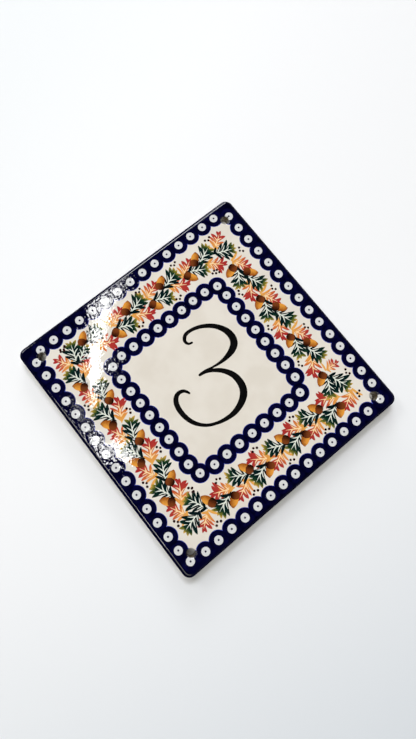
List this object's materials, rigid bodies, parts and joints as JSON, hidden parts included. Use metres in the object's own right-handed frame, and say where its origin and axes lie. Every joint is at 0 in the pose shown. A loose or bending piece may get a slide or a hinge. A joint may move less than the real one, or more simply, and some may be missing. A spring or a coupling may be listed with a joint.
{
  "type": "house number plaque",
  "caption": "Square glazed stoneware number tile hung as a diamond, with a ring-stamped border, an autumn leaf garland, a numeral and screw holes in the corners.",
  "frame": {"origin": "middle of the back, in the plane of the foot that rests on the wall", "axes": "+Z out of the glazed face, +Y towards the corner above the numeral, +X to the right of the numeral"},
  "size_m": [0.2224, 0.2224, 0.009],
  "materials": {
    "glazed_stoneware": "clear gloss glaze over cream stoneware with underglaze decoration"
  },
  "bodies": {
    "root": {"plaque_tile": "glazed_stoneware"}
  },
  "joints": []
}
